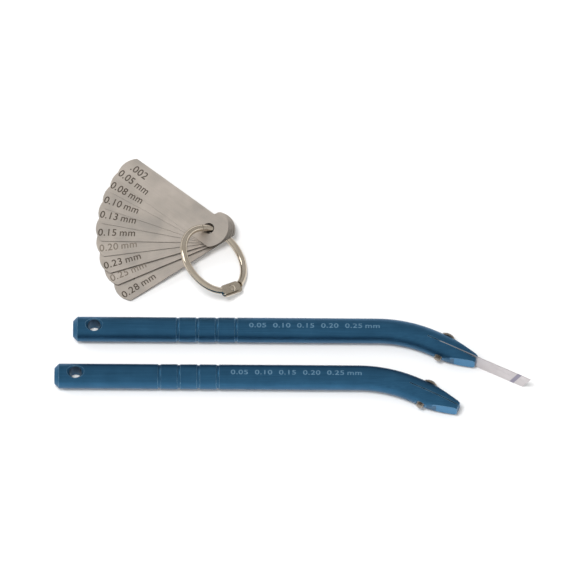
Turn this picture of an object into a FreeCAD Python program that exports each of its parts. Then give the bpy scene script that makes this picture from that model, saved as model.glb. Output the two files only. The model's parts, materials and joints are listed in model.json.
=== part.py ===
"""Feeler gauge kit: nine loose leaves fanned on a hinged ring, and two bent blade holders.

Each holder is a turned rod whose bent nose is sawn into two cheeks. A cross screw pulls
the cheeks together on a gauge blade. The upper holder carries a blade, the lower is empty.
Millimetres and degrees. The bench is the plane Z = 0, under the middle of the whole kit.
"""
import FreeCAD
import Part
import math
import os

from FreeCAD import Placement, Rotation, Vector

# --- Leaf set -------------------------------------------------------------------------
LEAF_THICKNESSES = [0.05, 0.08, 0.10, 0.13, 0.15, 0.20, 0.23, 0.25, 0.28]  # top to bottom
LEAF_FAN = [40.6, 33.7, 24.0, 15.6, 5.5, -3.4, -13.4, -20.8, -31.6]  # from -X towards +Y
LEAF_LENGTH = 52.7
LEAF_WIDTH = 12.0
LEAF_END_EASE = 1.8         # radius of both rounded ends, more than half the width
LEAF_GAPS = [0.05, 0.05, 0.05, 0.05, 0.10, 0.05, 0.28, 0.28]    # air under each leaf but the last
LEAF_HOLE_PLAY = 0.7        # leaf hole diameter over the slanted section of the ring wire

# --- Ring -----------------------------------------------------------------------------
RING_INNER_DIAMETER = 24.8
RING_WIRE_DIAMETER = 2.7
RING_CENTRE = (-29.7, 9.1)  # on the bench, before the kit is centred
RING_LEAN = 34.8            # the ring's plane against the bench
RING_TURN = 13.8            # heading of the ring's lowest point
# Places round the ring, counted from its lowest point.
RING_TOP_LEAF_ANGLE = 84.0
RING_SPLIT_ANGLE = 98.0
RING_HINGE_ANGLE = -70.4
HINGE_INSET = 0.3           # rivet axis inside the wire's centre line
TAB_THICKNESS = 1.1
TAB_WIDTH = 3.7
TAB_SHIFT = 0.35            # upper tab lies this far inwards, lower tab this far outwards
TAB_ROOT = 5.4              # where round wire turns into flat tab, from the rivet
TAB_OVERLAP = 0.45          # how far the flat runs on into the round wire
TAB_REACH = 4.45            # how far a tab runs past the rivet
TAB_GAP = 0.06
RIVET_DIAMETER = 1.2
RIVET_PLAY = 0.05           # radial, in the tab that turns
RIVET_HEAD_DIAMETER = 2.8
RIVET_HEAD_HEIGHT = 0.8
RIVET_FOOT_DIAMETER = 2.5
RIVET_FOOT_HEIGHT = 0.5
SOCKET_WALL = 0.4
SPIGOT_LENGTH = 1.5
SPIGOT_PLAY = 0.3           # radial, in the socket
SPLIT_GAP = 0.1
SPLIT_CHAMFER = 0.2

# --- Holders --------------------------------------------------------------------------
HOLDER_DIAMETER = 9.525
HANDLE_LENGTH = 116.2
BEND_RADIUS = 50.8
BEND_ANGLE = 25.0
NOSE_LENGTH = 18.5
HOLDER_TURN = -0.4
UPPER_HOLDER_REAR = (-83.5, -18.3)
LOWER_HOLDER_REAR = (-90.45, -38.05)
REAR_CHAMFER = 1.7
HANG_HOLE_DIAMETER = 4.8
HANG_HOLE_FROM_END = 8.1
HANG_HOLE_SINK = 0.95       # depth of the eased rim under the rod's crown
GROOVE_COUNT = 4
GROOVE_FIRST = 40.15
GROOVE_PITCH = 7.45
GROOVE_DEPTH = 0.3
GROOVE_CUTTER_RADIUS = 0.75
HEAD_FLAT_LENGTH = 16.0     # flat on the screw head's side, from the nose's end
TAIL_FLAT_LENGTH = 12.6     # flat on the screw tail's side, from the nose's end
NOSE_END_THICKNESS = 3.0    # across the flats at the very end
NOSE_TAPER_LENGTH = 14.0    # turned curve from the full rod down to the nose's end
NOSE_TAPER_DEPTH = 1.4      # lost from the radius over that length
NOSE_EDGE_BREAK = 0.8
SAW_CUT_LENGTH = 20.5

# --- Clamp screw ----------------------------------------------------------------------
SCREW_FROM_END = 13.9
SCREW_DIAMETER = 2.845
SCREW_PITCH = 0.635
THREAD_DEPTH = 0.38
THREAD_OPENING = 0.9        # mouth of each groove over the pitch
SCREW_PLAY = 0.05           # radial, in both cheeks
SCREW_HEAD_DIAMETER = 5.4
SCREW_HEAD_HEIGHT = 1.7
SCREW_HEAD_RIM = 0.6        # straight part of the head's side
SCREW_SEAT_DEPTH = 0.46     # flat cut into the rod under the head
SCREW_SEAT_PLAY = 0.3       # radial, round the head
SCREW_TAIL = 1.0            # threaded end standing out of the near cheek
SCREW_TAIL_CHAMFER = 0.3
HEX_ACROSS_FLATS = 1.6
HEX_DEPTH = 1.1
TAIL_SINK = 0.6             # chamfer at the mouth of the tapped hole

# --- Gauge blade ----------------------------------------------------------------------
BLADE_EDGE_GAP = 0.0125     # blade edges stop this short of the rod's crowns
BLADE_THICKNESS = 0.20
BLADE_TIP_THICKNESS = 0.13
BLADE_REACH = 21.3          # past the nose, along the middle
BLADE_TIP_LENGTH = 3.8      # ground thinner
BLADE_SKEW = 3.2            # upper edge longer than lower edge
BLADE_SIDE_PLAY = 0.05      # to each cheek of the saw cut
BLADE_HOLE_PLAY = 0.1       # radial, round the screw

BENCH_GAP = 0.1             # between the lowest leaf tip and the bench
SPARE = 1.0                 # how far a cutter overruns the stock

X = Vector(1, 0, 0)
Y = Vector(0, 1, 0)
Z = Vector(0, 0, 1)
O = Vector(0, 0, 0)

HOLDER_RADIUS = HOLDER_DIAMETER / 2
WIRE_RADIUS = RING_WIRE_DIAMETER / 2
RING_RADIUS = (RING_INNER_DIAMETER + RING_WIRE_DIAMETER) / 2
SPIGOT_DIAMETER = RING_WIRE_DIAMETER - 2 * (SOCKET_WALL + SPIGOT_PLAY)
LEAF_END_RADIUS = LEAF_WIDTH / 2 + LEAF_END_EASE
LEAF_REACH = LEAF_LENGTH - LEAF_END_RADIUS      # hole to the free end
BLADE_WIDTH = HOLDER_DIAMETER - 2 * BLADE_EDGE_GAP


def one_solid(shape):
    """The shape as a single cleaned solid."""
    solids = shape.removeSplitter().Solids
    if len(solids) != 1:
        raise ValueError("expected one solid, found %d" % len(solids))
    return solids[0]


def revolved(points, axis_point, axis, angle=360.0):
    """A closed outline of straight lines swept round an axis."""
    outline = Part.makePolygon(points + [points[0]])
    return Part.Face(outline).revolve(axis_point, axis, angle)


def turn_about(shape, angle, axis, centre=O):
    """A turned copy."""
    copy = shape.copy()
    copy.rotate(centre, axis, angle)
    return copy


# --- Leaves ---------------------------------------------------------------------------
def leaf(thickness, slant):
    """One leaf flat on XY: hole at the origin, free end towards +X, mid-plane at Z = 0."""
    half = LEAF_WIDTH / 2
    back = -math.sqrt(LEAF_END_RADIUS ** 2 - half ** 2)
    front = LEAF_REACH - LEAF_END_RADIUS - back
    edges = [
        Part.Arc(Vector(back, half, 0), Vector(-LEAF_END_RADIUS, 0, 0),
                 Vector(back, -half, 0)).toShape(),
        Part.LineSegment(Vector(back, -half, 0), Vector(front, -half, 0)).toShape(),
        Part.Arc(Vector(front, -half, 0), Vector(LEAF_REACH, 0, 0),
                 Vector(front, half, 0)).toShape(),
        Part.LineSegment(Vector(front, half, 0), Vector(back, half, 0)).toShape(),
    ]
    plate = Part.Face(Part.Wire(edges)).extrude(Vector(0, 0, thickness))
    hole_radius = (RING_WIRE_DIAMETER * slant + LEAF_HOLE_PLAY) / 2
    hole = Part.makeCylinder(hole_radius, thickness + 2 * SPARE, Vector(0, 0, -SPARE))
    plate = plate.cut(hole)
    plate.translate(Vector(0, 0, -thickness / 2))
    return one_solid(plate)


def leaf_depths():
    """How far each leaf's mid-plane lies under the top leaf's."""
    depths = [0.0]
    for upper, gap, lower in zip(LEAF_THICKNESSES, LEAF_GAPS, LEAF_THICKNESSES[1:]):
        depths.append(depths[-1] + upper / 2 + gap + lower / 2)
    return depths


def ring_place():
    """The ring's own frame: Z is its axis, X points down the slope to its lowest point."""
    height = RING_RADIUS * math.sin(math.radians(RING_LEAN)) + WIRE_RADIUS
    turn = Rotation(Z, RING_TURN).multiply(Rotation(Y, RING_LEAN))
    return Placement(Vector(RING_CENTRE[0], RING_CENTRE[1], height), turn)


def ring_point(angle, radius=RING_RADIUS):
    """A point on the ring's mid-plane, at an angle from its lowest point."""
    turned = math.radians(angle)
    return ring_place().multVec(Vector(radius * math.cos(turned), radius * math.sin(turned), 0))


def pack_turn(slope):
    """The leaf pack's frame: X climbs towards the ring at the pack's slope."""
    return Rotation(Y, -slope)


def leaf_holes(slope):
    """Where the wire threads each leaf: the point on it at that leaf's depth."""
    normal = pack_turn(slope).multVec(Z)
    top = ring_point(RING_TOP_LEAF_ANGLE)
    holes = []
    for depth in leaf_depths():
        angle = RING_TOP_LEAF_ANGLE
        for _ in range(6):
            here = ring_point(angle)
            climb = (ring_point(angle + 0.5) - ring_point(angle - 0.5)).dot(normal)  # per degree
            angle -= ((here - top).dot(normal) + depth) / climb
        holes.append(ring_point(angle))
    return holes


def wire_slant(slope):
    """Length over width of the wire's section where it crosses the leaves on a slant."""
    run = ring_point(RING_TOP_LEAF_ANGLE + 0.5) - ring_point(RING_TOP_LEAF_ANGLE - 0.5)
    return run.Length / run.dot(pack_turn(slope).multVec(Z))


def lowest_leaf_tip(slope):
    """Height of the lowest free end over the bench, for a pack lying at this slope."""
    drop = LEAF_REACH * math.sin(math.radians(slope))
    heights = []
    for hole, fan, thickness in zip(leaf_holes(slope), LEAF_FAN, LEAF_THICKNESSES):
        heights.append(hole.z - drop * math.cos(math.radians(fan)) - thickness / 2)
    return min(heights)


def resting_slope():
    """The slope at which the fanned leaves reach down to the bench."""
    low = 0.0
    high = 45.0
    for _ in range(30):
        middle = (low + high) / 2
        if lowest_leaf_tip(middle) > BENCH_GAP:
            low = middle
        else:
            high = middle
    return low


# --- Ring -----------------------------------------------------------------------------
def bent_wire(start, end):
    """Round wire along the ring between two angles, in the ring's frame."""
    section = Part.Face(Part.Wire(Part.makeCircle(WIRE_RADIUS, Vector(RING_RADIUS, 0, 0), Y)))
    return turn_about(section.revolve(O, Z, end - start), start, Z)


def at_ring_angle(shape, angle, radius=RING_RADIUS):
    """Moves a shape from the origin to the ring: its X outwards, its Y along the wire."""
    copy = shape.copy()
    copy.translate(Vector(radius, 0, 0))
    copy.rotate(O, Z, angle)
    return copy


def hinge_tab(side):
    """A flattened wire end at the rivet: side +1 is the upper tab, -1 the lower one."""
    half = TAB_WIDTH / 2
    centre_x = -side * TAB_SHIFT
    # The upper tab's root lies towards -Y, the lower tab's towards +Y.
    root = -side * (TAB_ROOT - half + TAB_OVERLAP)
    tip = side * (TAB_REACH - half)
    floor = TAB_GAP / 2 if side > 0 else -TAB_GAP / 2 - TAB_THICKNESS
    tab = Part.makeBox(TAB_WIDTH, abs(root - tip), TAB_THICKNESS,
                       Vector(centre_x - half, min(root, tip), floor))
    for end in (root, tip):
        tab = tab.fuse(Part.makeCylinder(half, TAB_THICKNESS, Vector(centre_x, end, floor)))
    bore = RIVET_DIAMETER / 2 + (RIVET_PLAY if side > 0 else 0.0)
    tab = tab.removeSplitter().cut(Part.makeCylinder(bore, 4 * TAB_THICKNESS,
                                                     Vector(0, 0, -2 * TAB_THICKNESS)))
    return at_ring_angle(tab, RING_HINGE_ANGLE, RING_RADIUS - HINGE_INSET)


def split_face_chamfer(angle, towards):
    """Cutter that breaks the edge of a wire end; towards is +1 if the wire ends going up."""
    reach = WIRE_RADIUS + SPARE
    points = [
        Vector(WIRE_RADIUS - SPLIT_CHAMFER, 0, 0),
        Vector(reach, 0, 0),
        Vector(reach, -towards * (SPLIT_CHAMFER + reach - WIRE_RADIUS), 0),
    ]
    return at_ring_angle(revolved(points, O, Y), angle)


def ring_fixed_half():
    """The half that runs through the leaves, with the lower hinge tab and the spigot."""
    root_angle = RING_HINGE_ANGLE + math.degrees(TAB_ROOT / RING_RADIUS)
    end_angle = RING_SPLIT_ANGLE - math.degrees(SPLIT_GAP / RING_RADIUS) / 2
    half = bent_wire(root_angle, end_angle)
    half = half.cut(split_face_chamfer(end_angle, 1))
    spigot = Part.makeCylinder(SPIGOT_DIAMETER / 2, SPIGOT_LENGTH + SPARE,
                               Vector(0, -SPARE, 0), Y)
    tip = Part.makeCone(SPIGOT_DIAMETER / 2, SPIGOT_DIAMETER / 4, SPIGOT_DIAMETER / 4,
                        Vector(0, SPIGOT_LENGTH, 0), Y)
    half = half.fuse(at_ring_angle(spigot.fuse(tip), end_angle))
    return one_solid(half.fuse(hinge_tab(-1)))


def ring_opening_half():
    """The half that swings on the rivet, with the upper hinge tab and the socket."""
    root_angle = 360.0 + RING_HINGE_ANGLE - math.degrees(TAB_ROOT / RING_RADIUS)
    end_angle = RING_SPLIT_ANGLE + math.degrees(SPLIT_GAP / RING_RADIUS) / 2
    half = bent_wire(end_angle, root_angle)
    half = half.cut(split_face_chamfer(end_angle, -1))
    socket = Part.makeCylinder(SPIGOT_DIAMETER / 2 + SPIGOT_PLAY,
                               SPIGOT_LENGTH + SPIGOT_DIAMETER + SPARE,
                               Vector(0, -SPARE, 0), Y)
    half = half.cut(at_ring_angle(socket, end_angle))
    return one_solid(half.fuse(hinge_tab(1)))


def dome(diameter, height, rim=0.0):
    """A domed head on XY, bulging to +Z, with a straight rim under the dome."""
    rise = height - rim
    radius = diameter / 2
    ball = (radius ** 2 + rise ** 2) / (2 * rise)
    middle = math.asin(radius / ball) / 2
    edges = [
        Part.LineSegment(O, Vector(radius, 0, 0)).toShape(),
        Part.Arc(Vector(radius, 0, rim),
                 Vector(ball * math.sin(middle), 0, height - ball * (1 - math.cos(middle))),
                 Vector(0, 0, height)).toShape(),
        Part.LineSegment(Vector(0, 0, height), O).toShape(),
    ]
    if rim > 0:
        edges.insert(1, Part.LineSegment(Vector(radius, 0, 0), Vector(radius, 0, rim)).toShape())
    return Part.Face(Part.Wire(edges)).revolve(O, Z, 360)


def ring_hinge_rivet():
    """Shank through both tabs, domed head above, flatter foot below."""
    foot_z = -TAB_GAP / 2 - TAB_THICKNESS
    head_z = TAB_GAP + TAB_THICKNESS
    shank = Part.makeCylinder(RIVET_DIAMETER / 2, head_z - foot_z, Vector(0, 0, foot_z))
    head = dome(RIVET_HEAD_DIAMETER, RIVET_HEAD_HEIGHT)
    head.translate(Vector(0, 0, head_z))
    foot = turn_about(dome(RIVET_FOOT_DIAMETER, RIVET_FOOT_HEIGHT), 180, X)
    foot.translate(Vector(0, 0, foot_z))
    rivet = one_solid(shank.fuse([head, foot]))
    return at_ring_angle(rivet, RING_HINGE_ANGLE, RING_RADIUS - HINGE_INSET)


# --- Holders --------------------------------------------------------------------------
# A holder's own frame: rear end at the origin, handle along +X, bent towards -Y.
def nose_place():
    """Frame of the bent nose: origin where it starts, X along it, Y across it."""
    turned = math.radians(BEND_ANGLE)
    start = Vector(HANDLE_LENGTH + BEND_RADIUS * math.sin(turned),
                   -BEND_RADIUS * (1 - math.cos(turned)), 0)
    return Placement(start, Rotation(Z, -BEND_ANGLE))


def in_nose(shape):
    """Moves a shape from the nose's frame to the holder's."""
    copy = shape.copy()
    copy.Placement = nose_place().multiply(copy.Placement)
    return copy


def turned_rod():
    """Handle with its rear chamfer, elbow, and nose with its tapered end, as one bar."""
    handle = revolved([
        O,
        Vector(0, HOLDER_RADIUS - REAR_CHAMFER, 0),
        Vector(REAR_CHAMFER, HOLDER_RADIUS, 0),
        Vector(HANDLE_LENGTH, HOLDER_RADIUS, 0),
        Vector(HANDLE_LENGTH, 0, 0),
    ], O, X)
    elbow_centre = Vector(HANDLE_LENGTH, -BEND_RADIUS, 0)
    section = Part.Face(Part.Wire(Part.makeCircle(HOLDER_RADIUS, Vector(HANDLE_LENGTH, 0, 0), X)))
    elbow = section.revolve(elbow_centre, Z, -BEND_ANGLE)
    return handle.fuse([elbow, in_nose(turned_nose())])


def turned_nose():
    """The nose in its own frame: straight rod, then an arc that leaves it smoothly."""
    taper_x = NOSE_LENGTH - NOSE_TAPER_LENGTH
    last_x = NOSE_LENGTH - NOSE_EDGE_BREAK
    last_radius = HOLDER_RADIUS - NOSE_TAPER_DEPTH
    run = last_x - taper_x
    sweep = (run ** 2 + NOSE_TAPER_DEPTH ** 2) / (2 * NOSE_TAPER_DEPTH)
    middle = math.asin(run / sweep) / 2
    corners = [
        Vector(taper_x, HOLDER_RADIUS, 0),
        Vector(taper_x + sweep * math.sin(middle),
               HOLDER_RADIUS - sweep * (1 - math.cos(middle)), 0),
        Vector(last_x, last_radius, 0),
        Vector(NOSE_LENGTH, last_radius - NOSE_EDGE_BREAK, 0),
        Vector(NOSE_LENGTH, 0, 0),
        O,
        Vector(0, HOLDER_RADIUS, 0),
    ]
    edges = [Part.Arc(corners[0], corners[1], corners[2]).toShape()]
    for start, end in zip(corners[2:], corners[3:] + corners[:1]):
        edges.append(Part.LineSegment(start, end).toShape())
    return Part.Face(Part.Wire(edges)).revolve(O, X, 360)


def handle_cuts():
    """The hanging hole with its eased rims, and the finger grooves."""
    hole_radius = HANG_HOLE_DIAMETER / 2
    cuts = [Part.makeCylinder(hole_radius, HOLDER_DIAMETER + 2 * SPARE,
                              Vector(HANG_HOLE_FROM_END, 0, -HOLDER_RADIUS - SPARE))]
    sink = HANG_HOLE_SINK + SPARE
    for side in (1, -1):
        mouth = Vector(HANG_HOLE_FROM_END, 0, side * (HOLDER_RADIUS + SPARE))
        cuts.append(Part.makeCone(hole_radius + sink, hole_radius, sink, mouth, Z * -side))
    centre_radius = HOLDER_RADIUS - GROOVE_DEPTH + GROOVE_CUTTER_RADIUS
    for index in range(GROOVE_COUNT):
        place = Vector(GROOVE_FIRST + index * GROOVE_PITCH, 0, 0)
        cuts.append(Part.makeTorus(centre_radius, GROOVE_CUTTER_RADIUS, place, X))
    return cuts


def nose_cuts():
    """The flats, the saw cut, and the screw's seat, hole and mouth, in the nose's frame."""
    end_half = NOSE_END_THICKNESS / 2
    deep = HOLDER_DIAMETER
    cuts = []
    for side, length in ((1, HEAD_FLAT_LENGTH), (-1, TAIL_FLAT_LENGTH)):
        wedge = Part.makePolygon([
            Vector(NOSE_LENGTH - length, side * HOLDER_RADIUS, -deep),
            Vector(NOSE_LENGTH, side * end_half, -deep),
            Vector(NOSE_LENGTH + SPARE, side * end_half, -deep),
            Vector(NOSE_LENGTH + SPARE, side * (HOLDER_RADIUS + SPARE), -deep),
            Vector(NOSE_LENGTH - length, side * (HOLDER_RADIUS + SPARE), -deep),
            Vector(NOSE_LENGTH - length, side * HOLDER_RADIUS, -deep),
        ])
        cuts.append(Part.Face(wedge).extrude(Vector(0, 0, 2 * deep)))
    kerf = BLADE_THICKNESS + 2 * BLADE_SIDE_PLAY
    cuts.append(Part.makeBox(SAW_CUT_LENGTH + SPARE, kerf, 2 * deep,
                             Vector(NOSE_LENGTH - SAW_CUT_LENGTH, -kerf / 2, -deep)))
    screw_x = NOSE_LENGTH - SCREW_FROM_END
    hole_radius = SCREW_DIAMETER / 2 + SCREW_PLAY
    cuts.append(Part.makeCylinder(hole_radius, HOLDER_DIAMETER + 2 * SPARE,
                                  Vector(screw_x, -HOLDER_RADIUS - SPARE, 0), Y))
    seat_y = HOLDER_RADIUS - SCREW_SEAT_DEPTH
    cuts.append(Part.makeCylinder(SCREW_HEAD_DIAMETER / 2 + SCREW_SEAT_PLAY,
                                  SCREW_SEAT_DEPTH + SPARE, Vector(screw_x, seat_y, 0), Y))
    sink = TAIL_SINK + SPARE
    cuts.append(Part.makeCone(hole_radius + sink, hole_radius, sink,
                              Vector(screw_x, -HOLDER_RADIUS - SPARE, 0), Y))
    return cuts


def holder():
    """The finished blade holder."""
    rod = turned_rod().cut(handle_cuts())
    return one_solid(rod.cut([in_nose(cut) for cut in nose_cuts()]))


def clamp_screw():
    """Pan head in the seat on the +Y side, threaded tail out of the -Y side."""
    seat_y = HOLDER_RADIUS - SCREW_SEAT_DEPTH
    tail_y = -HOLDER_RADIUS - SCREW_TAIL
    radius = SCREW_DIAMETER / 2
    shank = Part.makeCylinder(radius, seat_y - tail_y - SCREW_TAIL_CHAMFER,
                              Vector(0, tail_y + SCREW_TAIL_CHAMFER, 0), Y)
    end = Part.makeCone(radius - SCREW_TAIL_CHAMFER, radius, SCREW_TAIL_CHAMFER,
                        Vector(0, tail_y, 0), Y)
    head = turn_about(dome(SCREW_HEAD_DIAMETER, SCREW_HEAD_HEIGHT, SCREW_HEAD_RIM), -90, X)
    head.translate(Vector(0, seat_y, 0))
    screw = shank.fuse([end, head])
    cuts = []
    mouth = THREAD_OPENING * SCREW_PITCH / 2
    thread_y = tail_y + SCREW_TAIL_CHAMFER + SCREW_PITCH / 2
    while thread_y < -SCREW_DIAMETER / 2:
        vee = [
            Vector(radius - THREAD_DEPTH, thread_y, 0),
            Vector(radius, thread_y + mouth, 0),
            Vector(radius + SPARE, thread_y + mouth, 0),
            Vector(radius + SPARE, thread_y - mouth, 0),
            Vector(radius, thread_y - mouth, 0),
        ]
        cuts.append(revolved(vee, O, Y))
        thread_y += SCREW_PITCH
    corner = HEX_ACROSS_FLATS / math.sqrt(3)
    top_y = seat_y + SCREW_HEAD_HEIGHT
    hexagon = []
    for index in range(7):
        turned = math.radians(60 * index)
        hexagon.append(Vector(corner * math.cos(turned), top_y, corner * math.sin(turned)))
    cuts.append(Part.Face(Part.makePolygon(hexagon)).extrude(Vector(0, -HEX_DEPTH, 0)))
    screw = one_solid(screw.cut(cuts))
    screw.translate(Vector(NOSE_LENGTH - SCREW_FROM_END, 0, 0))
    return in_nose(screw)


def skewed(middle_x, z):
    """X on a line across the blade that leans with its end, at a height z."""
    return middle_x + BLADE_SKEW * z / BLADE_WIDTH


def gauge_blade():
    """Blade in the saw cut: rounded round the screw, skewed at the end, tip ground thinner."""
    half = BLADE_WIDTH / 2
    pivot_x = NOSE_LENGTH - SCREW_FROM_END
    end_x = NOSE_LENGTH + BLADE_REACH
    flat = -BLADE_THICKNESS / 2
    top = Vector(skewed(end_x, half), flat, half)
    bottom = Vector(skewed(end_x, -half), flat, -half)
    edges = [
        Part.Arc(Vector(pivot_x, flat, half), Vector(pivot_x - half, flat, 0),
                 Vector(pivot_x, flat, -half)).toShape(),
        Part.LineSegment(Vector(pivot_x, flat, -half), bottom).toShape(),
        Part.LineSegment(bottom, top).toShape(),
        Part.LineSegment(top, Vector(pivot_x, flat, half)).toShape(),
    ]
    blade = Part.Face(Part.Wire(edges)).extrude(Vector(0, BLADE_THICKNESS, 0))
    cuts = [Part.makeCylinder(SCREW_DIAMETER / 2 + BLADE_HOLE_PLAY, 2 * SPARE,
                              Vector(pivot_x, -SPARE, 0), Y)]
    step_x = end_x - BLADE_TIP_LENGTH
    high = half + SPARE
    for side in (1, -1):
        face_y = side * BLADE_TIP_THICKNESS / 2
        corners = [
            Vector(skewed(step_x, high), face_y, high),
            Vector(skewed(end_x, high) + SPARE, face_y, high),
            Vector(skewed(end_x, -high) + SPARE, face_y, -high),
            Vector(skewed(step_x, -high), face_y, -high),
        ]
        plate = Part.Face(Part.makePolygon(corners + [corners[0]]))
        cuts.append(plate.extrude(Vector(0, side, 0)))
    return in_nose(one_solid(blade.cut(cuts)))


# --- Laying the kit out ---------------------------------------------------------------
def laid_out():
    """Every piece in its place on the bench, and each pivot as (name, point, axis)."""
    pieces = {}
    pivots = []

    for prefix, rear in (("upper", UPPER_HOLDER_REAR), ("lower", LOWER_HOLDER_REAR)):
        place = Placement(Vector(rear[0], rear[1], HOLDER_RADIUS), Rotation(Z, HOLDER_TURN))
        parts = {prefix + "_holder": holder(), prefix + "_clamp_screw": clamp_screw()}
        if prefix == "upper":
            parts["gauge_blade"] = gauge_blade()
        for name, shape in parts.items():
            shape.Placement = place.multiply(shape.Placement)
            pieces[name] = shape
        nose = place.multiply(nose_place())
        screw_point = nose.multVec(Vector(NOSE_LENGTH - SCREW_FROM_END, 0, 0))
        pivots.append((prefix + "_clamp_screw", screw_point, nose.Rotation.multVec(Y)))

    ring = ring_place()
    ring_parts = {"ring_fixed_half": ring_fixed_half(), "ring_opening_half": ring_opening_half(),
                  "ring_hinge_rivet": ring_hinge_rivet()}
    for name, shape in ring_parts.items():
        shape.Placement = ring.multiply(shape.Placement)
        pieces[name] = shape
    hinge_point = ring_point(RING_HINGE_ANGLE, RING_RADIUS - HINGE_INSET)
    pivots.append(("ring_opening_half", hinge_point, ring.Rotation.multVec(Z)))

    slope = resting_slope()
    pack = pack_turn(slope)
    slant = wire_slant(slope)
    for hole, fan, thickness in zip(leaf_holes(slope), LEAF_FAN, LEAF_THICKNESSES):
        shape = leaf(thickness, slant)
        turn = pack.multiply(Rotation(Z, 180 - fan))
        shape.Placement = Placement(hole, turn).multiply(shape.Placement)
        name = "leaf_%s_mm" % ("%.2f" % thickness).replace(".", "_")
        pieces[name] = shape
        pivots.append((name, hole, pack.multVec(Z)))
    return pieces, pivots


def centred(pieces, pivots):
    """Moves everything so that the bench under the kit's middle is the origin."""
    box = FreeCAD.BoundBox()
    for shape in pieces.values():
        box.add(shape.optimalBoundingBox(False, False))
    shift = Vector(-box.Center.x, -box.Center.y, -box.ZMin)
    for shape in pieces.values():
        shape.translate(shift)
    return [(name, point + shift, axis) for name, point, axis in pivots], box


os.makedirs("parts", exist_ok=True)
PIECES, PIVOTS = laid_out()
PIVOTS, LAYOUT_BOX = centred(PIECES, PIVOTS)
for piece_name, piece in PIECES.items():
    piece.exportStep("parts/%s.step" % piece_name)
for pivot_name, pivot_point, pivot_axis in PIVOTS:
    print("%-20s at %8.3f %8.3f %8.3f  axis %7.4f %7.4f %7.4f"
          % (pivot_name, *pivot_point, *pivot_axis))
print("kit %.1f x %.1f x %.1f, %d pieces"
      % (LAYOUT_BOX.XLength, LAYOUT_BOX.YLength, LAYOUT_BOX.ZLength, len(PIECES)))
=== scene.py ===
"""Looks of a feeler gauge kit: nine leaves on a hinged ring, and two bent blade holders.

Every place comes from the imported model. Lengths are in metres; MM turns millimetres into them.
"""
import json
import math

import bmesh
import bpy
from mathutils import Matrix, Vector


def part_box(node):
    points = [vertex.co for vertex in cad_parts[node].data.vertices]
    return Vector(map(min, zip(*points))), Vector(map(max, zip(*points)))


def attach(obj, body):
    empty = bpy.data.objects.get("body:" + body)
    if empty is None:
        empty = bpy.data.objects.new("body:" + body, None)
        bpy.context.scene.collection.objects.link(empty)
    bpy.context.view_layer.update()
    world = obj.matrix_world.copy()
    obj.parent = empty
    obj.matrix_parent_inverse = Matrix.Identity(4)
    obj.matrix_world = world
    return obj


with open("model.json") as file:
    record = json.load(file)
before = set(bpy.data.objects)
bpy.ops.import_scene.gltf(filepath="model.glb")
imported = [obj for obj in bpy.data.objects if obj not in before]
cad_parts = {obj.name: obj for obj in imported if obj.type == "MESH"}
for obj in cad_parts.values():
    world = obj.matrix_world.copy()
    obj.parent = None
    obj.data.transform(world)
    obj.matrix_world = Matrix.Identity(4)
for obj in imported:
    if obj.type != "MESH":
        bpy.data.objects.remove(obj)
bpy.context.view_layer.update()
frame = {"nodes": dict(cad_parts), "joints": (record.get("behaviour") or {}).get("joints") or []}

MM = 0.001
NODES = frame["nodes"]
JOINTS = {joint["child"]: joint for joint in frame["joints"]}
LEAVES = sorted(name for name in NODES if name.startswith("leaf"))
HOLDERS = ("upper_holder", "lower_holder")
UP = Vector((0, 0, 1))

# Camera and light
CAMERA_AIM = Vector((-0.54, -0.77, 0)) * MM
CAMERA_ELEVATION = 65.0         # degrees above the bench
CAMERA_DISTANCE = 3.73
CAMERA_LENS = 600.0             # millimetres, on a sensor of this width:
SENSOR_WIDTH = 36.0
BENCH_HALF = 4.0                # half the bench's width
WORLD_LOW = 0.46                # brightness of the room at the horizon
WORLD_HIGH = 0.56               # and overhead
WORLD_FRONT = 1.4               # times as bright in front of the bench as behind it
# Each lamp's place, width and power, and whether the metal mirrors it
LAMPS = {
    "key": (Vector((-0.20, -0.27, 1.25)), 0.30, 10.5, False),
    "left": (Vector((-1.15, 0.35, 0.88)), 0.7, 5.0, True),
}

# Marks
LETTER_WEIGHT = 0.012           # how far the letters are thickened
LETTER_SPACE = 1.08             # times the usual space between letters
WORD_SPACE = 0.6                # times the usual space between words
LEAF_TEXT_HEIGHT = 2.95 * MM
LEAF_TEXT_LENGTH = 14.6 * MM
LEAF_TEXT_START = 43.8 * MM     # from the hole, towards the free end
INCH_TEXT_LENGTH = 7.6 * MM
INCH_TEXT_START = 41.4 * MM
INCH_TEXT_RETREAT = 4.6 * MM    # on the leaves under the top one
LEAF_LINE_OFFSET = 2.3 * MM     # of both lines from the leaf's middle
MARK_LIFT = 0.008 * MM          # marks lie this far above the metal
INCH_MARKS = {"0.05": ".002", "0.08": ".003", "0.10": ".004", "0.13": ".005", "0.15": ".006",
              "0.20": ".008", "0.23": ".009", "0.25": ".010", "0.28": ".011"}
LOW_LINE_DROP = {"leaf_0_08_mm": 0.7 * MM}          # this leaf is etched lower than the others
FAINT_LEAVES = ("leaf_0_20_mm", "leaf_0_25_mm")     # their etching hardly shows
ROD_MARKS = "0.05   0.10   0.15   0.20   0.25 mm"
ROD_TEXT_HEIGHT = 1.9 * MM
ROD_TEXT_LENGTH = 50.0 * MM
ROD_TEXT_FROM_END = 67.5 * MM   # from the rear end
ROD_TEXT_STRIP = 0.25 * MM      # letters are cut into strips this wide, to bend round the rod

# Holders
HANDLE_TURN = math.radians(-0.4)    # of both straight handles, about the vertical
# The two flats on a nose, in millimetres. Both cut this deep into the rod at the nose's end.
FLAT_DEPTH = 3.2625
HEAD_FLAT_LENGTH = 16.0         # on the side of the screw's head
TAIL_FLAT_LENGTH = 12.6         # on the side of the screw's tail
FLAT_START_BLUR = 0.2

# Blade
TIP_LENGTH = 3.8 * MM           # ground thinner
TINT_WIDTH = 1.7 * MM           # of the band tinted by grinding heat, behind the tip
TINT_BLUR = 0.12 * MM

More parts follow.
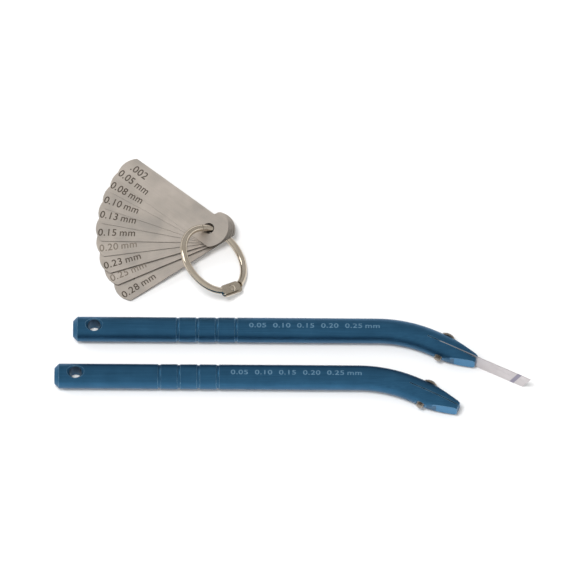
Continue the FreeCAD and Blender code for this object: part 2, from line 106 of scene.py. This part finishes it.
SMOOTH_BELOW = math.radians(34)     # edges flatter than this are shaded smooth
WELD = 0.0005 * MM
END_DEPTH = 0.05 * MM           # points this near a leaf's farthest one are on its free end
REAR_DEPTH = 1 * MM             # points this near a handle's rear are on its end face


def linear(code):
    """An sRGB hex colour as linear RGBA."""
    channels = [int(code[i:i + 2], 16) / 255 for i in (1, 3, 5)]
    return [c / 12.92 if c <= 0.04045 else ((c + 0.055) / 1.055) ** 2.4 for c in channels] + [1.0]


def feed(tree, node, inputs):
    """Gives a node's inputs, by name or number, a value or another node's output each."""
    for key, value in inputs.items():
        if isinstance(value, bpy.types.NodeSocket):
            tree.links.new(value, node.inputs[key])
        else:
            node.inputs[key].default_value = value


def add(tree, kind, inputs=(), stops=(), **settings):
    """Adds a node and returns its outputs.

    inputs are in the sockets' order, or a dictionary by name or number. stops are a colour
    ramp's (position, hex colour) pairs.
    """
    made = tree.nodes.new(kind)
    for name, value in settings.items():
        setattr(made, name, value)
    feed(tree, made, inputs if isinstance(inputs, dict) else dict(enumerate(inputs)))
    if stops:
        points = made.color_ramp.elements
        while len(points) < len(stops):
            points.new(0.5)
        for point, (position, code) in zip(points, stops):
            point.position = position
            point.color = linear(code)
    return made.outputs


def sized(size_mm, detail=3.0, roughness=0.55):
    """Settings of a noise whose blotches are about size_mm across."""
    return {"Scale": 1 / (size_mm * MM), "Detail": detail, "Roughness": roughness}


def weighted(tree, *shares):
    """Patterns added up, given as (pattern, its share)."""
    total = None
    for pattern, share in shares:
        part = add(tree, "ShaderNodeMath", (pattern, share), operation="MULTIPLY")[0]
        total = part if total is None else add(tree, "ShaderNodeMath", (total, part))[0]
    return total


def metal(name, build):
    """A metal whose shader takes the inputs that build(tree, object coordinates) returns."""
    made = bpy.data.materials.new(name)
    made.use_nodes = True
    tree = made.node_tree
    place = add(tree, "ShaderNodeTexCoord")["Object"]
    feed(tree, tree.nodes["Principled BSDF"], {"Metallic": 1.0, **build(tree, place)})
    return made


def stretched(tree, place, along, times):
    """Places squeezed along a direction, so that a pattern is drawn out that way."""
    turn = along.to_track_quat("X", "Z").inverted().to_euler()
    turned = add(tree, "ShaderNodeMapping", {"Vector": place, "Rotation": turn})[0]
    return add(tree, "ShaderNodeMapping", {"Vector": turned, "Scale": (1 / times, 1, 1)})[0]


def edge_mask(tree, radius_mm, sharpness):
    """1 along edges sharper than a few degrees, 0 on open faces."""
    rounded = add(tree, "ShaderNodeBevel", {"Radius": radius_mm * MM}, samples=6)[0]
    true_normal = add(tree, "ShaderNodeNewGeometry")["Normal"]
    match = add(tree, "ShaderNodeVectorMath", (rounded, true_normal), operation="DOT_PRODUCT")["Value"]
    return add(tree, "ShaderNodeMapRange", (match, 0.995, sharpness, 0.0, 1.0))["Result"]


# --- Finishes -------------------------------------------------------------------------
# A Map Range's inputs are the value, the range it comes from and the range it goes to. A
# colour mix takes its factor at 0 and its colours at 6 and 7, and gives the mix at 2. A Math
# node adds where no operation is named.
def blue_anodised_aluminium(nose_along, flat_start, flat_normals):
    """Aluminium bar, turned, etched matt and dyed blue: satin, with faint lengthwise lines.

    The nose's two flats are milled after etching, so they are paler. Sharp edges are paler
    too: partly where the dye is thin and worn, partly a painted highlight along the edges.
    The lines are drawn 0.4 mm apart, coarser than real ones, so that they show.
    """
    def build(tree, place):
        drawn_out = stretched(tree, place, Vector((1, 0, 0)), 60)
        lines = add(tree, "ShaderNodeTexNoise", {"Vector": drawn_out, **sized(0.4, 4.0)})["Fac"]
        blotches = add(tree, "ShaderNodeTexNoise", {"Vector": place, **sized(9.0)})["Fac"]
        grit = add(tree, "ShaderNodeTexNoise", {"Vector": place, **sized(0.25, 2.0)})["Fac"]
        wear = add(tree, "ShaderNodeTexNoise", {"Vector": place, **sized(1.4)})["Fac"]
        rod_colour = add(tree, "ShaderNodeValToRGB", (weighted(tree, (lines, 0.55), (blotches, 0.45)),),
                  ((0.32, "#2f5a79"), (0.5, "#356384"), (0.68, "#3c6d8f")))["Color"]

        true_normal = add(tree, "ShaderNodeNewGeometry")["Normal"]
        flats = 0.0
        for facing in flat_normals:
            match = add(tree, "ShaderNodeVectorMath", (true_normal, facing), operation="DOT_PRODUCT")
            flat = add(tree, "ShaderNodeMapRange", (match["Value"], 0.9985, 0.9995, 0.0, 1.0))["Result"]
            flats = add(tree, "ShaderNodeMath", (flats, flat))[0]
        ahead = add(tree, "ShaderNodeVectorMath", (place, nose_along), operation="DOT_PRODUCT")["Value"]
        on_nose = add(tree, "ShaderNodeMapRange",
                      (ahead, flat_start, flat_start + FLAT_START_BLUR * MM, 0.0, 1.0))["Result"]
        milled = add(tree, "ShaderNodeMath", (on_nose, flats), operation="MULTIPLY")[0]
        rod_colour = add(tree, "ShaderNodeMix", {0: milled, 6: rod_colour, 7: linear("#4a84ac")}, data_type="RGBA")[2]

        # Paler sharp edges, in patches: partly thin, worn dye, partly a painted highlight along the
        # edges.
        patchy = add(tree, "ShaderNodeMapRange", (wear, 0.35, 0.6, 0.35, 0.95))["Result"]
        pale_edges = add(tree, "ShaderNodeMath", (edge_mask(tree, 0.28, 0.91), patchy),
                   operation="MULTIPLY")[0]
        rod_colour = add(tree, "ShaderNodeMix", {0: pale_edges, 6: rod_colour, 7: linear("#97c0dd")}, data_type="RGBA")[2]
        matt = add(tree, "ShaderNodeMath", (grit, lines))[0]
        matt = add(tree, "ShaderNodeMapRange", (matt, 0.7, 1.3, 0.40, 0.54))["Result"]
        ridges = add(tree, "ShaderNodeBump", {"Height": lines, "Distance": 0.004 * MM})[0]
        ridges = add(tree, "ShaderNodeBump",
                     {"Height": grit, "Distance": 0.004 * MM, "Normal": ridges})[0]
        return {"Base Color": rod_colour, "Roughness": matt, "Normal": ridges}
    return metal("blue_anodised_aluminium", build)


def rolled_spring_steel(name, along, normal):
    """Cold rolled hardened strip: grey with a warm cast, rolling grain along the leaf.

    Its sheared edges are painted near black: partly their own heat scale and oil, partly
    painted shade of the gaps between the leaves. The grain is drawn 0.25 mm wide, coarser
    than real rolling lines, so that it shows.
    """
    def build(tree, place):
        drawn_out = stretched(tree, place, along, 40)
        grain = add(tree, "ShaderNodeTexNoise", {"Vector": drawn_out, **sized(0.25, 4.0, 0.6)})["Fac"]
        wiped = stretched(tree, place, along, 5)
        smears = add(tree, "ShaderNodeTexNoise", {"Vector": wiped, **sized(1.6)})["Fac"]
        speckle = add(tree, "ShaderNodeTexNoise", {"Vector": place, **sized(0.3, 2.0)})["Fac"]
        haze = add(tree, "ShaderNodeTexNoise", {"Vector": place, **sized(11.0, 2.0)})["Fac"]
        tone = weighted(tree, (grain, 0.25), (speckle, 0.15), (haze, 0.6))
        steel = add(tree, "ShaderNodeValToRGB", (tone,),
                    ((0.36, "#bab3ab"), (0.5, "#cac1b7"), (0.64, "#d7cdc3")))["Color"]
        smeared = add(tree, "ShaderNodeMapRange", (smears, 0.62, 0.75, 0.0, 0.18))["Result"]
        steel = add(tree, "ShaderNodeMix", {0: smeared, 6: steel, 7: linear("#a79c91")},
                    data_type="RGBA")[2]

        # Side faces painted near black: partly heat scale and oil, partly painted shade of the gaps
        # between leaves.
        true_normal = add(tree, "ShaderNodeNewGeometry")["Normal"]
        facing = add(tree, "ShaderNodeVectorMath", (true_normal, normal), operation="DOT_PRODUCT")
        either_way = add(tree, "ShaderNodeMath", (facing["Value"],), operation="ABSOLUTE")[0]
        dark_edge_and_gap_shade = add(tree, "ShaderNodeMapRange", (either_way, 0.3, 0.7, 1.0, 0.0))["Result"]
        steel = add(tree, "ShaderNodeMix", {0: dark_edge_and_gap_shade, 6: steel, 7: linear("#1a1511")},
                    data_type="RGBA")[2]
        matt = add(tree, "ShaderNodeMath", (grain, smears))[0]
        matt = add(tree, "ShaderNodeMapRange", (matt, 0.7, 1.3, 0.44, 0.56))["Result"]
        relief = add(tree, "ShaderNodeMath", (grain, speckle))[0]
        relief = add(tree, "ShaderNodeBump", {"Height": relief, "Distance": 0.002 * MM})[0]
        return {"Base Color": steel, "Roughness": matt, "Normal": relief}
    return metal(name, build)


def etched_figures(name, dark, light):
    """Acid-etched figures: a dull grey-brown stain in the steel, paler where hardly bitten."""
    def build(tree, place):
        bite = add(tree, "ShaderNodeTexNoise", {"Vector": place, **sized(0.35)})["Fac"]
        stain = add(tree, "ShaderNodeValToRGB", (bite,), ((0.35, dark), (0.65, light)))["Color"]
        return {"Base Color": stain, "Metallic": 0.25, "Roughness": 0.62}
    return metal(name, build)


def engraved_anodising():
    """Figures cut by laser through blue dye to the pale oxide under it: matt grey-blue."""
    def build(tree, place):
        cut = add(tree, "ShaderNodeTexNoise", {"Vector": place, **sized(0.3)})["Fac"]
        oxide = add(tree, "ShaderNodeValToRGB", (cut,), ((0.35, "#4f7793"), (0.65, "#6f95af")))["Color"]
        return {"Base Color": oxide, "Metallic": 0.5, "Roughness": 0.55}
    return metal("engraved_anodising", build)


def bright_nickel_plate(name, dark, light, roughness):
    """Nickel plate on drawn wire: a warm mirror with hairline scratches; painted shade darkens its
    corners.
    """
    def build(tree, place):
        haze = add(tree, "ShaderNodeTexNoise", {"Vector": place, **sized(6.0)})["Fac"]
        drawn_out = stretched(tree, place, Vector((0.4, 1, 0.3)).normalized(), 30)
        scratches = add(tree, "ShaderNodeTexNoise", {"Vector": drawn_out, **sized(0.15, 2.0)})["Fac"]
        plate = add(tree, "ShaderNodeValToRGB", (haze,), ((0.35, dark), (0.65, light)))["Color"]
        # Painted shade: darker where ambient occlusion finds corners, crevices and gaps between parts.
        openness = add(tree, "ShaderNodeAmbientOcclusion", {"Distance": 0.5 * MM}, samples=8)["AO"]
        painted_corner_shade = add(tree, "ShaderNodeMapRange", (openness, 0.45, 0.9, 0.85, 0.0))["Result"]
        plate = add(tree, "ShaderNodeMix", {0: painted_corner_shade, 6: plate, 7: linear("#4a4036")},
                    data_type="RGBA")[2]
        dull = add(tree, "ShaderNodeMath", (haze, scratches))[0]
        dull = add(tree, "ShaderNodeMapRange", (dull, 0.75, 1.3, roughness, roughness + 0.05))["Result"]
        hairlines = add(tree, "ShaderNodeBump", {"Height": scratches, "Distance": 0.0006 * MM})[0]
        return {"Base Color": plate, "Roughness": dull, "Normal": hairlines}
    return metal(name, build)


def oiled_screw_steel():
    """Plain hardened screw steel, oiled: mid grey, slightly warm, in patches, with brighter edges."""
    def build(tree, place):
        patches = add(tree, "ShaderNodeTexNoise", {"Vector": place, **sized(0.9)})["Fac"]
        steel = add(tree, "ShaderNodeValToRGB", (patches,),
                    ((0.35, "#7d766e"), (0.65, "#a0978b")))["Color"]
        pale_edges = add(tree, "ShaderNodeMath", (edge_mask(tree, 0.12, 0.88), 0.75), operation="MULTIPLY")[0]
        steel = add(tree, "ShaderNodeMix", {0: pale_edges, 6: steel, 7: linear("#b9aea0")},
                    data_type="RGBA")[2]
        film = add(tree, "ShaderNodeTexNoise", {"Vector": place, **sized(0.3)})["Fac"]
        film = add(tree, "ShaderNodeMapRange", (film, 0.3, 0.7, 0.28, 0.42))["Result"]
        pits = add(tree, "ShaderNodeTexNoise", {"Vector": place, **sized(0.2)})["Fac"]
        pits = add(tree, "ShaderNodeBump", {"Height": pits, "Distance": 0.003 * MM})[0]
        return {"Base Color": steel, "Roughness": film, "Normal": pits}
    return metal("oiled_screw_steel", build)


def ground_blade_steel(along, step, lean):
    """Bright ground strip. The step to the thinner tip is a skewed line, tinted by grinding heat.

    step is how far along the blade that line would meet the bench; lean is how far it
    moves on for each unit of height.
    """
    def build(tree, place):
        drawn_out = stretched(tree, place, along, 30)
        grain = add(tree, "ShaderNodeTexNoise", {"Vector": drawn_out, **sized(0.3, 4.0)})["Fac"]
        haze = add(tree, "ShaderNodeTexNoise", {"Vector": place, **sized(5.0)})["Fac"]
        steel = add(tree, "ShaderNodeValToRGB", (weighted(tree, (grain, 0.4), (haze, 0.6)),),
                    ((0.35, "#bfb9ba"), (0.65, "#d1cccd")))["Color"]

        skewed = along - UP * lean
        ahead = add(tree, "ShaderNodeVectorMath", (place, skewed), operation="DOT_PRODUCT")["Value"]
        past = add(tree, "ShaderNodeMath", (ahead, step), operation="SUBTRACT")[0]
        start = add(tree, "ShaderNodeMapRange", (past, -TINT_WIDTH - 2 * TINT_BLUR,
                                                 -TINT_WIDTH + TINT_BLUR, 0.0, 1.0))["Result"]
        stop = add(tree, "ShaderNodeMapRange", (past, -TINT_BLUR, 0.0, 1.0, 0.0))["Result"]
        tint = add(tree, "ShaderNodeMath", (start, stop), operation="MULTIPLY")[0]
        tint = add(tree, "ShaderNodeMath", (tint, 0.85), operation="MULTIPLY")[0]
        steel = add(tree, "ShaderNodeMix", {0: tint, 6: steel, 7: linear("#7d7990")},
                    data_type="RGBA")[2]
        matt = add(tree, "ShaderNodeMapRange", (grain, 0.3, 0.7, 0.34, 0.46))["Result"]
        relief = add(tree, "ShaderNodeBump", {"Height": grain, "Distance": 0.002 * MM})[0]
        return {"Base Color": steel, "Roughness": matt, "Normal": relief}
    return metal("ground_blade_steel", build)


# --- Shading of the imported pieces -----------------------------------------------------
def smooth_by_angle():
    """Node group that welds loose triangles and shades all but real edges smooth."""
    tree = bpy.data.node_groups.new("smooth_by_angle", "GeometryNodeTree")
    tree.interface.new_socket("Geometry", in_out="INPUT", socket_type="NodeSocketGeometry")
    tree.interface.new_socket("Geometry", in_out="OUTPUT", socket_type="NodeSocketGeometry")
    loose = add(tree, "NodeGroupInput")[0]
    welded = add(tree, "GeometryNodeMergeByDistance", {"Geometry": loose, "Distance": WELD})[0]
    smooth = add(tree, "GeometryNodeSetShadeSmooth", {"Geometry": welded}, domain="FACE")[0]
    angle = add(tree, "GeometryNodeInputMeshEdgeAngle")["Unsigned Angle"]
    real_edge = add(tree, "FunctionNodeCompare", (angle, SMOOTH_BELOW), operation="GREATER_THAN")[0]
    sharp = add(tree, "GeometryNodeSetShadeSmooth",
                {"Geometry": smooth, "Selection": real_edge, "Shade Smooth": False}, domain="EDGE")[0]
    add(tree, "NodeGroupOutput", {"Geometry": sharp})
    return tree


def finish_node(name, material, smoothing):
    """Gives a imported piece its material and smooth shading."""
    piece = NODES[name]
    piece.data.materials.clear()
    piece.data.materials.append(material)
    piece.modifiers.new("smooth_by_angle", "NODES").node_group = smoothing


# --- Marks ----------------------------------------------------------------------------
def glyphs(words, height, length):
    """A flat mesh of words on XY, from the origin along +X, centred on the X axis."""
    curve = bpy.data.curves.new("words", "FONT")
    curve.body = words
    curve.offset = LETTER_WEIGHT
    curve.space_word = WORD_SPACE
    curve.space_character = LETTER_SPACE
    holder = bpy.data.objects.new("words", curve)
    bpy.context.scene.collection.objects.link(holder)
    bpy.context.view_layer.update()
    evaluated = holder.evaluated_get(bpy.context.evaluated_depsgraph_get())
    mesh = bpy.data.meshes.new_from_object(evaluated)
    bpy.data.objects.remove(holder)
    xs = [vertex.co.x for vertex in mesh.vertices]
    ys = [vertex.co.y for vertex in mesh.vertices]
    wide = max(xs) - min(xs)
    tall = max(ys) - min(ys)
    for vertex in mesh.vertices:
        vertex.co.x = (vertex.co.x - min(xs)) / wide * length
        vertex.co.y = ((vertex.co.y - min(ys)) / tall - 0.5) * height
    return mesh


def piece_from(mesh, name, material, body):
    """A mesh as a piece that rides on a body."""
    mesh.materials.clear()
    mesh.materials.append(material)
    piece = bpy.data.objects.new(name, mesh)
    bpy.context.scene.collection.objects.link(piece)
    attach(piece, body)
    return piece


def leaf_frame(name):
    """(hole, direction to the free end, upward normal, height of the upper face over the hole)."""
    joint = JOINTS[name]
    hole = Vector(joint["pos_m"])
    normal = Vector(joint["axis"]).normalized()
    reach = [vertex.co - hole for vertex in NODES[name].data.vertices]
    far = max(reach, key=lambda offset: offset.length).length
    tip = sum((offset for offset in reach if offset.length > far - END_DEPTH), Vector())
    along = (tip - normal * tip.dot(normal)).normalized()
    face = max(offset.dot(normal) for offset in reach)
    return hole, along, normal, face


def mark_leaf(name, material):
    """Etches a leaf's thickness in both units near its free end."""
    hole, along, normal, face = leaf_frame(name)
    metric = name[len("leaf_"):-len("_mm")].replace("_", ".")
    across = normal.cross(-along)
    inch_start = INCH_TEXT_START - (0 if name == LEAVES[0] else INCH_TEXT_RETREAT)
    lines = (
        ("metric", metric + " mm", LEAF_TEXT_LENGTH, LEAF_TEXT_START,
         -LEAF_LINE_OFFSET - LOW_LINE_DROP.get(name, 0)),
        ("inch", INCH_MARKS[metric], INCH_TEXT_LENGTH, inch_start, LEAF_LINE_OFFSET),
    )
    for kind, words, length, start, offset in lines:
        mesh = glyphs(words, LEAF_TEXT_HEIGHT, length)
        origin = hole + along * start + across * offset + normal * (face + MARK_LIFT)
        mesh.transform(Matrix((
            (-along.x, across.x, normal.x, origin.x),
            (-along.y, across.y, normal.y, origin.y),
            (-along.z, across.z, normal.z, origin.z),
            (0, 0, 0, 1),
        )))
        piece_from(mesh, "%s_%s_figures" % (name, kind), material, name)


def cut_in_strips(mesh, strip):
    """Cuts a flat mesh into strips along X, narrow enough to bend round a rod."""
    work = bmesh.new()
    work.from_mesh(mesh)
    low = min(vertex.co.y for vertex in work.verts)
    high = max(vertex.co.y for vertex in work.verts)
    for index in range(1, int((high - low) / strip) + 1):
        everything = work.verts[:] + work.edges[:] + work.faces[:]
        bmesh.ops.bisect_plane(work, geom=everything, plane_co=(0, low + index * strip, 0),
                               plane_no=(0, 1, 0))
    work.to_mesh(mesh)
    work.free()


def mark_holder(name, material, along):
    """Engraves a row of figures along the top of a holder's straight handle."""
    low, high = (Vector(corner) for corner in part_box(name))
    radius = (high.z - low.z) / 2
    rear = [vertex.co for vertex in NODES[name].data.vertices if vertex.co.x < low.x + REAR_DEPTH]
    middle = (min(point.y for point in rear) + max(point.y for point in rear)) / 2
    start = Vector((low.x, middle, low.z + radius))
    across = UP.cross(along)
    mesh = glyphs(ROD_MARKS, ROD_TEXT_HEIGHT, ROD_TEXT_LENGTH)
    cut_in_strips(mesh, ROD_TEXT_STRIP)
    for vertex in mesh.vertices:
        turned = vertex.co.y / radius
        outwards = UP * math.cos(turned) + across * math.sin(turned)
        vertex.co = (start + along * (ROD_TEXT_FROM_END + vertex.co.x)
                     + outwards * (radius + MARK_LIFT))
    piece_from(mesh, name + "_figures", material, name)


# --- Stage ----------------------------------------------------------------------------
def floor():
    """A plain white bench."""
    mesh = bpy.data.meshes.new("bench")
    corners = [(-BENCH_HALF, -BENCH_HALF, 0), (BENCH_HALF, -BENCH_HALF, 0),
               (BENCH_HALF, BENCH_HALF, 0), (-BENCH_HALF, BENCH_HALF, 0)]
    mesh.from_pydata(corners, [], [(0, 1, 2, 3)])
    white = bpy.data.materials.new("white_bench")
    white.use_nodes = True
    tree = white.node_tree
    feed(tree, tree.nodes["Principled BSDF"],
         {"Base Color": linear("#f4f4f4"), "Roughness": 0.9, "Specular IOR Level": 0.0})
    mesh.materials.append(white)
    bench = bpy.data.objects.new("bench", mesh)
    bpy.context.scene.collection.objects.link(bench)


def surroundings():
    """A pale room: even, a little brighter overhead and towards the front."""
    world = bpy.data.worlds.new("pale_room")
    bpy.context.scene.world = world
    world.use_nodes = True
    tree = world.node_tree
    direction = add(tree, "ShaderNodeTexCoord")["Generated"]
    parts = add(tree, "ShaderNodeSeparateXYZ", (direction,))
    level = add(tree, "ShaderNodeMapRange", (parts["Z"], 0.1, 0.6, WORLD_LOW, WORLD_HIGH))["Result"]
    front = add(tree, "ShaderNodeMapRange", (parts["Y"], -0.8, 0.1, WORLD_FRONT, 1.0))["Result"]
    level = add(tree, "ShaderNodeMath", (level, front), operation="MULTIPLY")[0]
    feed(tree, tree.nodes["Background"], {"Strength": level, "Color": linear("#ffffff")})


def lamp(name, position, size, power):
    light = bpy.data.lights.new(name, "AREA")
    light.size = size
    light.energy = power
    made = bpy.data.objects.new(name, light)
    made.location = position
    made.rotation_euler = (-position).to_track_quat("-Z", "Y").to_euler()
    bpy.context.scene.collection.objects.link(made)
    return made


def camera():
    """A long lens that looks down on the bench from the front."""
    data = bpy.data.cameras.new("camera")
    data.lens = CAMERA_LENS
    data.sensor_width = SENSOR_WIDTH
    made = bpy.data.objects.new("camera", data)
    slope = math.radians(CAMERA_ELEVATION)
    made.location = CAMERA_AIM + CAMERA_DISTANCE * Vector((0, -math.cos(slope), math.sin(slope)))
    made.rotation_euler = (math.radians(90 - CAMERA_ELEVATION), 0, 0)
    bpy.context.scene.collection.objects.link(made)
    bpy.context.scene.camera = made


# --- Putting it together --------------------------------------------------------------
smoothing = smooth_by_angle()
handle_along = Matrix.Rotation(HANDLE_TURN, 3, "Z") @ Vector((1, 0, 0))
nose_across = Vector(JOINTS["gauge_blade"]["axis"]).normalized()
nose_along = nose_across.cross(UP)      # the blade lies along the nose too

flat_normals = []
for side, flat_length in ((1, HEAD_FLAT_LENGTH), (-1, TAIL_FLAT_LENGTH)):
    slope = math.atan(FLAT_DEPTH / flat_length)
    flat_normals.append(nose_along * math.sin(slope) + nose_across * side * math.cos(slope))
nose_ends = [max(vertex.co.dot(nose_along) for vertex in NODES[holder_name].data.vertices)
             for holder_name in HOLDERS]
flat_start = min(nose_ends) - HEAD_FLAT_LENGTH * MM

blue = blue_anodised_aluminium(nose_along, flat_start, flat_normals)
for holder_name in HOLDERS:
    finish_node(holder_name, blue, smoothing)
engraved = engraved_anodising()
for holder_name in HOLDERS:
    mark_holder(holder_name, engraved, handle_along)

screw_steel = oiled_screw_steel()
for screw_name in ("upper_clamp_screw", "lower_clamp_screw"):
    finish_node(screw_name, screw_steel, smoothing)

nickel = bright_nickel_plate("bright_nickel_plate", "#c6baa8", "#d0c4b3", 0.13)
for half_name in ("ring_fixed_half", "ring_opening_half"):
    finish_node(half_name, nickel, smoothing)
peened = bright_nickel_plate("peened_nickel", "#c0b4a3", "#d0c5b5", 0.10)
finish_node("ring_hinge_rivet", peened, smoothing)

blade_points = [vertex.co for vertex in NODES["gauge_blade"].data.vertices]
end_top = max(blade_points, key=lambda point: point.dot(nose_along) + point.z)
end_bottom = max(blade_points, key=lambda point: point.dot(nose_along) - point.z)
blade_lean = (end_top - end_bottom).dot(nose_along) / (end_top.z - end_bottom.z)
blade_step = end_top.dot(nose_along) - blade_lean * end_top.z - TIP_LENGTH
finish_node("gauge_blade", ground_blade_steel(nose_along, blade_step, blade_lean), smoothing)

figures = etched_figures("etched_figures", "#3f372f", "#5a5046")
faint_figures = etched_figures("faintly_etched_figures", "#6e655b", "#877d72")
for leaf_name in LEAVES:
    leaf_along, leaf_normal = leaf_frame(leaf_name)[1:3]
    steel = rolled_spring_steel("rolled_spring_steel_" + leaf_name, leaf_along, leaf_normal)
    finish_node(leaf_name, steel, smoothing)
    mark_leaf(leaf_name, faint_figures if leaf_name in FAINT_LEAVES else figures)

floor()
surroundings()
for lamp_name, (lamp_place, lamp_size, lamp_power, shows_in_metal) in LAMPS.items():
    lamp(lamp_name, lamp_place, lamp_size, lamp_power).visible_glossy = shows_in_metal
camera()
bpy.context.scene.view_settings.view_transform = "Standard"
